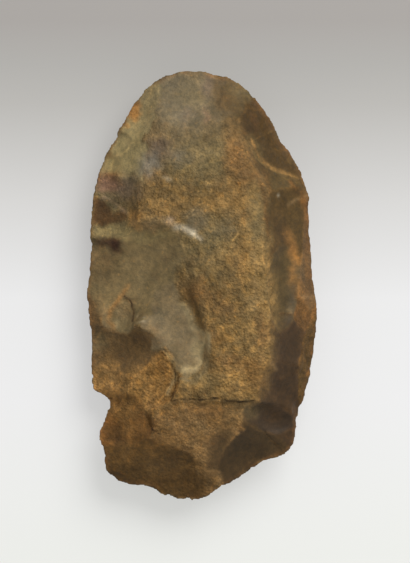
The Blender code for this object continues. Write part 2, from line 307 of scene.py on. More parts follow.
# Patches where the finish departs from its scar's, in steps of the photograph's frame: middle, half width,
# half height, turn in degrees, finish, strength from 0 to 1, and softness of the border
PATCHES = [
    (200, 158, 44, 30, 0, "olive crust", 0.85, 0.7),
    (186, 108, 42, 36, 0, "grey olive", 0.85, 0.7),
    (193, 95, 14, 12, 0, "olive", 0.6, 0.7),
    (226, 100, 14, 22, -20, "top brown", 0.8, 0.8),
    (249, 112, 8, 24, -8, "top dark", 0.5, 0.6),
    (186, 119, 4, 10, 0, "pale pink highlight", 0.2, 0.7),
    (206, 116, 3, 7, 0, "purple pink", 0.4, 0.7),
    (207, 86, 5, 11, 0, "purple grey", 0.5, 0.8),
    (159, 150, 12, 12, 20, "purple grey", 0.6, 0.8),
    (239, 168, 13, 36, -10, "orange crust", 0.85, 0.6),
    (157, 136, 10, 5, -20, "light tan", 0.25, 0.8),
    (150, 166, 10, 13, 10, "bluish", 0.75, 0.7),
    (180, 158, 9, 8, 0, "bluish", 0.4, 0.8),
    # Painted highlight
    (167, 179, 4, 2, 0, "cream highlight", 0.5, 0.5),
    (160, 203, 36, 24, 0, "crust", 0.85, 0.6),
    (126, 188, 12, 13, 20, "purple grey", 0.6, 0.8),
    (107, 184, 13, 8, 15, "purple pink", 0.9, 0.7),
    (112, 176, 9, 5, 0, "red brown", 0.4, 0.8),
    (136, 218, 9, 8, 0, "brown orange", 0.7, 0.7),
    (135, 112, 6, 9, 25, "orange", 0.95, 0.4),
    (137, 104, 4, 3, 0, "red brown", 0.7, 0.6),
    (127, 126, 4, 3, 0, "orange", 0.6, 0.5),
    (110, 154, 4, 5, 0, "dark brown", 0.6, 0.5),
    (225, 230, 36, 50, 0, "crust", 0.9, 0.4),
    (237, 330, 32, 72, 0, "crust", 0.9, 0.5),
    (238, 345, 24, 48, 10, "ridge crust", 0.55, 0.9),
    # Painted highlight on the pale scar's lit rim
    (198, 347, 6, 14, 0, "pale highlight", 0.6, 0.6),
    (260, 290, 13, 90, -4, "ridge crust", 0.75, 0.5),
    (214, 232, 20, 18, 0, "olive crust", 0.75, 0.7),
    (205, 262, 24, 24, 0, "olive crust", 0.5, 0.8),
    (150, 262, 26, 16, 0, "olive grey", 0.6, 0.6),
    (102, 264, 14, 20, 0, "dark olive", 0.45, 0.9),
    (110, 244, 12, 4, 0, "dark red", 0.85, 0.7),
    (116, 247, 6, 7, 0, "dark red", 0.9, 0.7),
    (196, 292, 12, 10, 30, "red brown", 0.5, 0.9),
    (222, 308, 16, 8, 25, "orange crust", 0.5, 0.9),
    (214, 338, 12, 8, 20, "red brown", 0.35, 0.9),
    (232, 362, 18, 8, 10, "orange crust", 0.5, 0.9),
    (216, 385, 20, 9, 0, "ridge crust", 0.5, 0.9),
    (197, 378, 16, 8, 0, "olive crust", 0.6, 0.9),
    (160, 412, 14, 10, 0, "brown orange", 0.5, 0.9),
    (205, 412, 18, 8, 0, "red brown", 0.4, 0.9),
    # Painted highlight
    (169, 221, 4, 5, 30, "pale pink highlight", 0.8, 0.5),
    (148, 385, 27, 17, 0, "golden crust", 0.9, 0.4),
    (107, 377, 14, 20, 0, "brown orange", 0.8, 0.4),
    # Painted highlight: a small glint
    (116, 323, 2.5, 2.5, 0, "pale highlight", 0.4, 0.6),
    # Painted highlight: a small glint
    (141, 318, 1.6, 1.6, 0, "cream highlight", 0.3, 0.5),
    (252, 123, 5, 13, -18, "dark brown", 0.6, 0.8),
    (289, 240, 4, 11, -22, "orange", 0.4, 0.9),
    (304, 272, 4, 10, 0, "margin olive", 0.7, 0.8),
    (296, 256, 5, 8, -10, "orange", 0.5, 0.9),
    (292, 274, 4, 9, 12, "orange", 0.4, 0.9),
    (300, 290, 5, 9, -15, "orange", 0.45, 0.9),
    (279, 236, 7, 20, -4, "blue black", 0.35, 0.9),
    # Painted highlight: a small glint
    (278, 196, 1.2, 1.2, 0, "cream highlight", 0.6, 0.5),
    (303, 201, 4, 7, 0, "red brown", 0.6, 0.5),
    (308, 309, 9, 12, 0, "orange", 0.2, 0.6),
    # Painted highlight: a small glint in light tan
    (291, 311, 2, 5, 0, "light tan", 0.35, 0.6),
    (281, 345, 9, 15, 0, "dark red", 0.15, 0.8),
    (142, 345, 12, 12, 0, "dark olive", 0.6, 0.8),
    (122, 350, 18, 10, 0, "dark olive", 0.5, 0.8),
    (120, 405, 22, 12, 0, "golden crust", 0.7, 0.7),
    (132, 424, 14, 16, 0, "golden crust", 0.5, 0.8),
    (116, 438, 12, 12, 0, "butt brown", 0.7, 0.8),
    (178, 422, 30, 20, 0, "tan", 0.7, 0.6),
    (140, 452, 30, 12, 0, "brown orange", 0.35, 0.8),
    (162, 462, 20, 14, 0, "dark olive", 0.5, 0.8),
    (218, 452, 12, 25, 20, "butt grey", 0.85, 0.6),
    (150, 448, 34, 14, 0, "butt brown", 0.55, 0.8),
    (199, 458, 5, 18, 0, "tan", 0.5, 0.8),
    (224, 229, 10, 8, 0, "grey olive", 0.5, 0.7),
    (196, 219, 13, 11, -40, "grey olive", 0.75, 0.4),
    (242, 116, 9, 14, -10, "top dark", 0.5, 0.8),
    (258, 218, 9, 40, 0, "olive crust", 0.65, 0.8),
    (262, 332, 6, 20, 0, "orange crust", 0.6, 0.8),
    (255, 372, 10, 14, 0, "red brown", 0.4, 0.8),
    (98, 341, 10, 8, 0, "olive grey", 0.5, 0.7),
    (95, 361, 9, 8, 0, "dark olive", 1.0, 0.6),
    (151, 330, 7, 7, 0, "light tan", 0.3, 0.7),
    (160, 318, 8, 8, 0, "grey olive", 0.6, 0.8),
    (207, 484, 8, 10, 0, "butt brown", 0.7, 0.8),
    # Painted light in light tan over the top wall of the olive scar, which would otherwise be in shade
    (152, 222, 16, 5, 0, "light tan", 0.7, 0.6),
    (122, 311, 8, 9, 20, "light tan", 0.35, 0.6),
    (97, 316, 5, 16, 0, "dark olive", 0.8, 0.8),
    (184, 104, 22, 22, 0, "bluish", 0.15, 0.8),
    (186, 492, 20, 8, 0, "butt brown", 0.8, 0.7),
    (247, 408, 12, 8, 0, "olive grey", 0.4, 0.8),
    (200, 428, 5, 9, -20, "light tan", 0.3, 0.8),
]

# Areas with a drawn border: corners, finish, strength, softness of the border in steps
AREAS = [
    (((182, 262), (200, 248), (216, 252), (216, 330), (207, 335), (194, 328), (190, 315), (183, 305),
      (175, 291), (176, 275)),
     "crust", 0.9, 4),
    (((160, 285), (175, 283), *PALE_RIM, (170, 355), (163, 348), (155, 350), (152, 343), (155, 330),
      (150, 305)),
     "pale", 0.9, 2.5),
    (((92, 240), (120, 237), (150, 240), (175, 240), (193, 243), (190, 254), (181, 268), (174, 282),
      (158, 290), (130, 298), (105, 296), (90, 290)),
     "olive grey", 0.75, 4),
    (((250, 146), (258, 160), (268, 170), (271, 186), (268, 202), (262, 206), (255, 190), (249, 168)),
     "lit brown", 0.8, 3),
    # Painted light on the band above the olive scar, whose top wall would otherwise be in shade
    (((93, 228), (110, 227), (135, 229), (165, 230), (178, 235), (150, 241), (110, 240), (93, 239)),
     "lit olive band", 0.6, 3),
    (((94, 196), (103, 200), (113, 208), (125, 211), (128, 217), (120, 224), (108, 226), (94, 223)),
     "dark brown", 0.9, 2),
    (((254, 130), (270, 130), (282, 146), (293, 164), (297, 175), (277, 170), (266, 161), (257, 147)),
     "top dark", 0.95, 3),
]

# Lines: points, width in steps, finish, strength
LINES = [
    (((290, 330), (285, 355), (278, 378), (271, 400), (272, 418)), 16, "dark grey", 0.9),
    # Painted highlights: a bright crescent along the scar's rim
    (((175, 227), (185, 229), (194, 233)), 4, "cream highlight", 0.8),
    (((192, 232), (202, 240)), 2, "cream highlight", 0.8),
    # Painted highlights along the pale scar's lit rims, whose walls the lamp leaves in shade
    (PALE_RIM, 5, "pale highlight", 0.85),
    (LOWER_RIM, 2.5, "pale highlight", 0.6),
    (((128, 286), (119, 299), (110, 311), (108, 322), (114, 327)), 3, "orange", 0.6),
    (SHORT_CRACK, 1.8, "dark brown", 0.7),
    (((131, 318), (139, 322), (152, 328), (160, 338)), 3, "dark olive", 0.25),
    # Worn highlight lines: partly real wear, partly painted highlight along the arrises
    (((100, 297), (107, 315), (108, 333)), 2, "worn highlight", 0.25),
    # Painted highlight along the left step
    (LEFT_STEP, 2, "pale pink highlight", 0.6),
    (((212, 198), (235, 185), (262, 172)), 1.6, "dark brown", 0.35),
    (((247, 100), (246, 112), (250, 124), (256, 136)), 2.5, "top dark", 0.8),
    (((256, 172), (262, 186), (266, 204), (268, 236)), 3, "lit brown", 0.6),
    (((251, 140), (256, 150), (263, 160), (272, 168), (284, 172), (297, 178)), 2, "brown orange", 0.7),
    (((290, 181), (296, 189)), 2.5, "red brown", 0.7),
    (((288, 205), (296, 200), (306, 196)), 1.6, "worn highlight", 0.5),
    (((302, 192), (306, 215), (306, 250), (308, 290)), 3.5, "red brown", 0.3),
    (((303, 297), (314, 297)), 2, "worn highlight", 0.7),
    (RIGHT_STEP, 1.6, "dark brown", 0.6),
    (((270, 362), (277, 370)), 1.8, "worn highlight", 0.5),
    (((302, 318), (302, 345), (300, 360), (296, 372)), 6, "lit brown", 0.35),
    (((173, 402), (200, 401), (212, 399), (225, 401), (240, 403), (256, 401)), 1.8, "shade", 0.5),
    (((97, 396), (107, 399), (118, 402)), 2.2, "shade", 0.5),
    (BUTT_STEP, 1.8, "shade", 0.4),
    (((105, 438), (125, 440)), 1.6, "shade", 0.4),
    (((254, 240), (256, 270), (254, 310)), 4, "light tan", 0.25),
]

# Hairline cracks with painted shade in them, and hairline ridges made pale partly by wear and partly by
# painted highlight, too thin for the mesh, as points that the material draws a line by
SHADED_CRACKS = [
    ((172, 401), (186, 399), (200, 400), (212, 398), (225, 400), (240, 402), (254, 400)),
    ((162, 352), (170, 360), (175, 372), (175, 388), (171, 401)),
    SHORT_CRACK,
    ((97, 396), (106, 399), (112, 398)),
    ((150, 424), (153, 430), (160, 434)),
]
# Hairline ridges made pale partly by wear and partly by painted highlight
WORN_AND_LIT_HAIR_RIDGES = [
    ((252, 141), (262, 136), (272, 131)),
    ((125, 374), (134, 375), (142, 381)),
    ((155, 364), (162, 360), (170, 364), (170, 372), (163, 376), (156, 371)),
    ((131, 382), (128, 391), (133, 399)),
    ((171, 384), (165, 394), (158, 403)),
    ((142, 388), (148, 395), (146, 404)),
    ((207, 204), (214, 211), (216, 219)),
    ((236, 226), (238, 233), (233, 241)),
    ((177, 177), (173, 189)),
    ((205, 181), (213, 186)),
    ((222, 214), (229, 222)),
    ((222, 300), (236, 309)),
    ((212, 322), (224, 328)),
    ((232, 352), (246, 357)),
    ((226, 376), (240, 372)),
    ((169, 225), (180, 221), (190, 214), (197, 206), (205, 202)),
    ((250, 146), (256, 158), (266, 167), (278, 172), (298, 177)),
    ((257, 430), (264, 432), (272, 441), (284, 450)),
    ((100, 194), (110, 200), (119, 206), (127, 213)),
    ((279, 313), (292, 313)),
]

# Small ledges: points of the line, how far the sunk ground beside it runs out in steps, and how deep it is in
# millimetres. The ground sinks right of the line as it runs, and left of it where the depth is negative
LEDGES = [
    (((204, 202), (190, 215), (172, 227)), 14, -0.5),
    (((262, 172), (235, 185), (212, 198)), 16, -0.3),
    (LEFT_STEP, 10, 0.4),
    (PALE_RIM, 12, 0.55),
    (((127, 290), (113, 307), (108, 322)), 9, 0.4),
    (LOWER_RIM, 9, 0.45),
    (BUTT_STEP, 12, -0.7),
    (((105, 438), (145, 438)), 9, 0.35),
    (((178, 440), (190, 450), (195, 465), (197, 497)), 9, 0.4),
    (RIGHT_STEP, 8, 0.4),
    (((262, 430), (283, 450)), 9, 0.5),
    (((257, 145), (262, 158), (268, 168), (275, 174), (298, 178)), 9, 0.35),
    (((240, 262), (246, 300), (243, 340), (248, 380)), 10, 0.25),
    (((180, 262), (205, 268), (225, 262)), 12, 0.25),
    (((228, 132), (236, 160), (240, 200), (246, 236)), 12, 0.25),
]

# Where a border between scars has been worn soft: middle, half width and half height in steps
SOFT_SPOTS = [
    (150, 233, 62, 20),
    (197, 285, 16, 50),
    (128, 198, 32, 36),
    (165, 345, 20, 20),
    (190, 95, 40, 30),
    (200, 360, 18, 30),
    (150, 150, 30, 45),
    (140, 320, 32, 22),
    (135, 362, 34, 14),
    (120, 430, 28, 14),
    (150, 455, 34, 14),
    (266, 416, 24, 13),
]

# Whole numbers that turn a lump's place and its seed into a value without a pattern
PLACE_MIX = (73856093, 19349663, 83492791)
SEED_MIX = 2654435761
LAST_MIX = 1274126177

# A distance past everything, for a start, and one that keeps hairlines off the under face, in millimetres
FAR_AWAY = 1e9
OFF_THE_FACE = 50


def blend(low, high, value):
    """0 up to low, 1 from high on, and a smooth change between them. High may be the smaller number."""
    t = np.clip((value - low) / (high - low), 0, 1)
    return t * t * (3 - 2 * t)


def grain(places, size, seed):
    """Smooth noise from 0 to 1 over places in millimetres, with lumps of about the size given."""
    spot = places / size + seed * 17.31
    corner = np.floor(spot).astype(np.int64)
    part = spot - corner
    part = part * part * (3 - 2 * part)
    total = np.zeros(len(places))
    for dx in (0, 1):
        for dy in (0, 1):
            for dz in (0, 1):
                place = (corner + (dx, dy, dz)) * PLACE_MIX
                mixed = place[:, 0] ^ place[:, 1] ^ place[:, 2] ^ seed * SEED_MIX
                mixed = (mixed ^ (mixed >> 13)) * LAST_MIX & 0x7FFFFFFF
                value = ((mixed ^ (mixed >> 16)) & 0xFFFF) / 0xFFFF
                near = np.abs(1 - np.array((dx, dy, dz)) - part)
                total += value * (near[:, 0] * near[:, 1] * near[:, 2])
    return total


def rough_grain(places, size, seed):
    """Noise with finer lumps on the coarse ones, from 0 to 1."""
    return (
        0.53 * grain(places, size, seed)
        + 0.30 * grain(places, size / 2.1, seed + 1)
        + 0.17 * grain(places, size / 4.3, seed + 2)
    )


def wandering(noise, places, size, seeds):
    """A shift across and down for each place, from -0.5 to 0.5."""
    return np.stack([noise(places, size, seed) - 0.5 for seed in seeds], axis=1)


def from_screen(colour):
    """A colour as seen on a screen, as the share of light that it gives back."""
    part = np.array(colour, float) / 255
    return np.where(part <= 0.04045, part / 12.92, ((part + 0.055) / 1.055) ** 2.4)


def between(points, position):
    """The smooth closed curve through the points, where a whole position is a point of the list."""
    count = len(points)
    start = math.floor(position)
    t = position - start
    before, here, there, after = (np.array(points[(start + i) % count], float) for i in (-1, 0, 1, 2))
    return 0.5 * (
        2 * here
        + (there - before) * t
        + (2 * before - 5 * here + 4 * there - after) * t**2
        + (3 * here - before - 3 * there + after) * t**3
    )


def inward(position, reach):
    """Heading in degrees of a blow square to the margin."""
    run = between(OUTLINE, position + reach) - between(OUTLINE, position - reach)
    return math.degrees(math.atan2(-run[0], run[1]))


def rim_points(steps):
    """Points of the outline's curve, with so many steps from each drawn point to the next."""
    return [between(OUTLINE, n / steps) for n in range(steps * len(OUTLINE))]


def margin_height(x, y):
    """Height of the edge, which waves and rises to the right."""
    return MARGIN_MIDDLE + MARGIN_CLIMB * x + MARGIN_WAVE * np.sin(y / MARGIN_WAVE_STRETCH)


def share_to_margin(x, y, middle):
    """0 at the middle point and 1 at the outline, as the crow flies."""
    rim = np.array(rim_points(6)) - np.array(middle)
    turn = np.arctan2(rim[:, 1], rim[:, 0])
    order = np.argsort(turn)
    reach = np.hypot(rim[:, 0], rim[:, 1])
    there = np.arctan2(y - middle[1], x - middle[0])
    full = np.interp(there, turn[order], reach[order], period=math.tau)
    return np.hypot(x - middle[0], y - middle[1]) / full


def blank_height(x, y, side):
    """Height of the stone's face before knapping. Side is 1 for the upper face and -1 for the under face."""
    edge = margin_height(x, y)
    if side > 0:
        share = share_to_margin(x, y, CROWN)
        across, along = x - PLATEAU_PEAK[0], y - PLATEAU_PEAK[1]
        bend = PLATEAU_BEND[0] * across**2 + PLATEAU_BEND[1] * along**2
        plateau = PLATEAU_HEIGHT - bend - PLATEAU_FALL * np.maximum(-across, 0)
        return edge + (plateau - edge) * np.sqrt(np.clip(1 - share**UPPER_FULLNESS, 0, 1))
    share = np.clip(share_to_margin(x, y, BASE), 0, 1)
    lowest = -FLAT_DEPTH * GRID_THICK / THICKNESS
    return edge + (lowest - edge) * (1 - share**UNDER_FULLNESS)


def dish_height(x, y, scar, side, reach, squareness):
    """Height of a scar's hollow over each place, and a great height outside its reach."""
    from_x, from_y, heading, rise, length, width, hollow, height, _ = scar
    height = height + margin_height(from_x, from_y)
    along = np.array((math.cos(math.radians(heading)), math.sin(math.radians(heading))))
    travel = (x - from_x) * along[0] + (y - from_y) * along[1]
    sideways = ((y - from_y) * along[0] - (x - from_x) * along[1]) / (width / 2)
    behind = (travel - length / 2) / (length / 2 + OVERRUN)
    forward = np.where(travel > length / 2, 2 * travel / length - 1, behind)
    inside = np.abs(forward) ** squareness + np.abs(sideways) ** squareness <= reach**squareness
    depth = math.tan(math.radians(rise)) * travel
    depth = depth + hollow * ((2 * travel / length - 1) ** 2 + sideways**2 - 1)
    return np.where(inside, height * side + depth, NO_HOLLOW)


def under_scars():
    """The plain scars of the under face, drawn by lot as in the source."""
    chance = random.Random(UNDER_SEED)
    spacing = len(OUTLINE) / UNDER_SCARS
    scars = []
    for number in range(UNDER_SCARS):
        position = (number + chance.uniform(-UNDER_STRAY, UNDER_STRAY)) * spacing
        place = between(OUTLINE, position)
        heading = inward(position, spacing / 2) + chance.uniform(-UNDER_SWING, UNDER_SWING)
        rise, length, width, hollow = (chance.uniform(*spread) for spread in UNDER_SPREAD)
        finish = UNDER_FINISHES[number % len(UNDER_FINISHES)]
        scars.append((place[0], place[1], heading, rise, length, width, hollow, 0, finish))
    return scars


def edge_scars(wanted):
    """The small scars round one face, drawn by lot as in the source."""
    chance = random.Random(EDGE_SEED)
    scars = []
    for side, count in EDGE_COUNTS:
        spacing = len(OUTLINE) / count
        for number in range(count):
            position = (number + chance.uniform(-EDGE_STRAY, EDGE_STRAY)) * spacing
            place = between(OUTLINE, position)
            steep = side > 0 and place[0] > STEEP_SIDE and place[1] < STEEP_TOP
            heading = inward(position, spacing / 2) + chance.uniform(-EDGE_SWING, EDGE_SWING)
            rise = chance.uniform(*(STEEP_EDGE_RISE if steep else EDGE_RISE))
            length, width, hollow = (chance.uniform(*spread) for spread in EDGE_SPREAD)
            height = -side * chance.uniform(*EDGE_DROP)
            if side == wanted:
                scars.append((place[0], place[1], heading, rise, length, width, hollow, height, None))
    return scars


def scar_table(side):
    """Every scar of a face with its reach and squareness, the first struck first."""
    if side > 0:
        table = [(scar, DISH_REACH, ROUND) for scar in UPPER_SCARS]
        table.append((STEP_SCAR, STEP_REACH, SQUARE))
        table += [(scar, DISH_REACH, ROUND) for scar in BUTT_SCARS]
    else:
        table = [(scar, DISH_REACH, ROUND) for scar in under_scars()]
    return table + [(scar, EDGE_REACH, ROUND) for scar in edge_scars(side)]


def all_heights(x, y, side, table):
    """Depth of the blank and of every scar at each place, all turned so that the lowest one shows."""
    rows = [side * blank_height(x, y, side)]
    rows += [dish_height(x, y, scar, side, reach, squareness) for scar, reach, squareness in table]
    return np.array(rows)


def face_of_scars(places, side):
    """Height of the knapped face over each place, which scar shows there, and how near its border is."""
    table = scar_table(side)
    x, y = places[:, 0], places[:, 1]
    rows = all_heights(x, y, side, table)
    slopes_x = (all_heights(x + SLOPE_STEP, y, side, table) - rows) / SLOPE_STEP
    slopes_y = (all_heights(x, y + SLOPE_STEP, side, table) - rows) / SLOPE_STEP
    order = np.argsort(rows, axis=0)
    here = np.arange(len(x))
    first, second = order[0], order[1]
    gap = rows[second, here] - rows[first, here]
    turn_x = slopes_x[second, here] - slopes_x[first, here]
    turn_y = slopes_y[second, here] - slopes_y[first, here]
    turn = np.clip(np.hypot(turn_x, turn_y), MIN_TURN, MAX_TURN)
    turn = np.where(rows[second, here] >= NO_HOLLOW, MIN_TURN, turn)
    border = np.clip(gap / turn, 0, MAX_BORDER)
    return side * rows[first, here], first, border, turn, table


def points_of(mesh):
    flat = np.empty(3 * len(mesh.vertices))
    mesh.vertices.foreach_get("co", flat)
    return flat.reshape(-1, 3) * METRE


def put_points(mesh, points):
    mesh.vertices.foreach_set("co", (points / METRE).ravel())
    mesh.update()


def normals_of(mesh):
    flat = np.empty(3 * len(mesh.vertices))
    mesh.vertices.foreach_get("normal", flat)
    return flat.reshape(-1, 3)


def edges_of(mesh):
    flat = np.empty(2 * len(mesh.edges), np.int64)
    mesh.edges.foreach_get("vertices", flat)
    return flat.reshape(-1, 2)


def smoothed(values, edges, rounds, share=1.0):
    """Each value moved towards the mean of its neighbours, again and again."""
    count = np.bincount(edges.ravel(), minlength=len(values)).astype(float)
    share = np.broadcast_to(share, len(values))
    for _ in range(rounds):
        if values.ndim == 1:
            total = np.bincount(edges[:, 0], values[edges[:, 1]], len(values))
            total += np.bincount(edges[:, 1], values[edges[:, 0]], len(values))
            values = values + share * (total / count - values)
        else:
            values = np.stack([smoothed(values[:, axis], edges, 1, share) for axis in range(3)], axis=1)
    return values


def fine_copy(node):
    """The stone's solid again, as one fine and even mesh."""
    stone = bpy.data.objects.new("flint_axe_stone", node.data.copy())
    bpy.context.scene.collection.objects.link(stone)
    bpy.ops.object.select_all(action="DESELECT")
    stone.select_set(True)
    bpy.context.view_layer.objects.active = stone
    bpy.ops.object.mode_set(mode="EDIT")
    bpy.ops.mesh.select_all(action="SELECT")
    bpy.ops.mesh.remove_doubles(threshold=WELD_REACH / METRE)
    bpy.ops.object.mode_set(mode="OBJECT")
    remesh = stone.modifiers.new("even_mesh", "REMESH")
    remesh.mode = "VOXEL"
    remesh.voxel_size = FINE_SPACING / METRE
    bpy.ops.object.modifier_apply(modifier=remesh.name)
    bpy.ops.object.shade_smooth()
    return stone


def picture_place(points):
    """Where each point shows in the photograph's frame, which widens with height towards the camera."""
    nearness = CAMERA_DISTANCE / (CAMERA_DISTANCE + EDGE_HEIGHT - points[:, 2])
    across = FRAME_MIDDLE[0] + (points[:, 0] - CAMERA_PLACE[0]) / STEP * nearness
    down = FRAME_MIDDLE[1] - (points[:, 1] - CAMERA_PLACE[1]) / STEP * nearness
    return np.stack([across, down], axis=1)


def stretches(spots, corners):
    """For each straight stretch of a line through the corners, the way from it to every spot, and its run."""
    for start, end in zip(corners[:-1], corners[1:]):
        start, run = np.array(start, float), np.array(end, float) - np.array(start, float)
        t = np.clip(((spots - start) @ run) / (run @ run), 0, 1)
        yield spots - start - t[:, None] * run, run


def line_distance(spots, corners):
    """How far each spot is from a line through the corners."""
    nearest = np.full(len(spots), FAR_AWAY)
    for away, _ in stretches(spots, corners):
        nearest = np.minimum(nearest, np.hypot(away[:, 0], away[:, 1]))
    return nearest


def inside_area(spots, corners):
    """True for each spot inside the closed border."""
    inside = np.zeros(len(spots), bool)
    for (x1, y1), (x2, y2) in zip(corners, corners[1:] + corners[:1]):
        crosses = (y1 > spots[:, 1]) != (y2 > spots[:, 1])
        run = (x2 - x1) / (y2 - y1) if y2 != y1 else 0
        inside ^= crosses & (spots[:, 0] < x1 + (spots[:, 1] - y1) * run)
    return inside


def ledge_drop(points):
    """How far each point sinks beside the small ledges."""
    spots = picture_place(points) + LEDGE_WANDER * wandering(grain, points, 2.2, (83, 89))
    drop = np.zeros(len(points))
    for corners, reach, depth in LEDGES:
        nearest = np.full(len(spots), FAR_AWAY)
        right = np.zeros(len(spots))
        for away, run in stretches(spots, corners):
            far = np.hypot(away[:, 0], away[:, 1])
            turn = run[0] * away[:, 1] - run[1] * away[:, 0]
            right = np.where(far < nearest, turn, right)
            nearest = np.minimum(nearest, far)
        lower = right > 0 if depth > 0 else right < 0
        ends = np.minimum(np.hypot(*(spots - corners[0]).T), np.hypot(*(spots - corners[-1]).T))
        drop = np.maximum(drop, abs(depth) * lower * np.exp(-nearest / reach * 1.6) * blend(0, 6, ends))
    return drop


def hairline_distance(points, lines):
    """How far each point of the upper face is from the nearest of the lines, in millimetres."""
    spots = picture_place(points) + HAIRLINE_WANDER * wandering(grain, points, 1.8, (131, 137))
    nearest = np.min([line_distance(spots, corners) for corners in lines], axis=0) * STEP
    return nearest + OFF_THE_FACE * (points[:, 2] < EDGE_HEIGHT - 2)


def rim_share(points):
    """1 on the margin line and 0 further in."""
    rim = rim_points(3)
    return np.exp(-((line_distance(points[:, :2] / GRID[:2], rim + rim[:1]) / 1.3) ** 2))


def finish_values(name):
    """A finish as one row: light reflected in red, green and blue, then crust and shine."""
    *colour, crust, shine = FINISHES[name]
    return np.array((*from_screen(colour) / LIGHT_ON_STONE, crust, shine))


def lay(paint, name, share):
    """Lays a finish over the paint, as thick as the share says at each point."""
    return paint + share[:, None] * (finish_values(name) - paint)


def scar_paint(ground, first, table):
    """Paint of each point by the scar that it lies in, or by the ground's finish outside them all."""
    names = [ground] + [scar[-1] for scar, _, _ in table]
    return np.array([finish_values(name) for name in names])[first]


def paint_upper(points, first, table):
    """Finish of each point of the upper face: its scar's, then areas, patches and lines over it."""
    paint = scar_paint("crust", first, table)
    wander = wandering(rough_grain, points, 5, (41, 47))
    ragged = wandering(rough_grain, points, 2, (67, 73))
    spots = picture_place(points) + BORDER_WANDER * wander + BORDER_FRAY * ragged
    for corners, name, strength, soft in AREAS:
        away = line_distance(spots, corners + corners[:1]) * np.where(inside_area(spots, corners), 1, -1)
        paint = lay(paint, name, strength * blend(-soft, soft, away))
    for x, y, half_wide, half_tall, turn, name, strength, soft in PATCHES:
        turn = math.radians(turn)
        across = (spots[:, 0] - x) * math.cos(turn) + (spots[:, 1] - y) * math.sin(turn)
        down = (spots[:, 1] - y) * math.cos(turn) - (spots[:, 0] - x) * math.sin(turn)
        away = np.hypot(across / half_wide, down / half_tall)
        paint = lay(paint, name, strength * blend(1 + soft, 1 - soft, away))
    steady = picture_place(points) + LINE_WANDER * wander
    broken = blend(0.25, 0.55, rough_grain(points, 2.5, 59))
    for corners, width, name, strength in LINES:
        away = line_distance(steady, corners) / width
        paint = lay(paint, name, strength * (0.45 + 0.55 * broken) * np.exp(-2 * away**2))
    return lay(paint, "rim", 0.6 * rim_share(points) * blend(0.3, 0.6, rough_grain(points, 4, 61)))


def paint_under(points, first, table):
    """Finish of each point of the under face: its scar's, with crust over it here and there."""
    crusty = blend(0.5, 0.62, rough_grain(points, 22, 71))
    return lay(scar_paint("olive crust", first, table), "crust", 0.8 * crusty)


def soft_share(points):
    """1 where the stone is worn soft, and 0 elsewhere."""
    spots = picture_place(points)
    share = np.zeros(len(points))
    for x, y, half_wide, half_tall in SOFT_SPOTS:
        away = np.hypot((spots[:, 0] - x) / half_wide, (spots[:, 1] - y) / half_tall)
        share = np.maximum(share, blend(1.15, 0.75, away))
    return share * (points[:, 2] > EDGE_HEIGHT + 3)


def weathered(points, paint):
    """The paint, broken up into ochre lumps on olive where it is crusty, and clouded everywhere."""
    crust = paint[:, 3]
    cloud = rough_grain(points, 14, 101) - 0.5
    spread = rough_grain(points, 4.5, 107) - 0.5
    lump = rough_grain(points, 2.1, 113)
    ochre = (blend(0.44, 0.62, lump + 0.3 * cloud) - 0.40)[:, None] * np.array(LUMP_TONE)
    tone = 1 + ochre * crust[:, None]
    tone = tone * (1 + cloud[:, None] * np.array(CLOUD_TONE))
    tone = tone * (1 + 0.75 * spread[:, None] * np.array(SPOT_TONE))
    paint = paint.copy()
    paint[:, :3] = paint[:, :3] * tone
    return paint


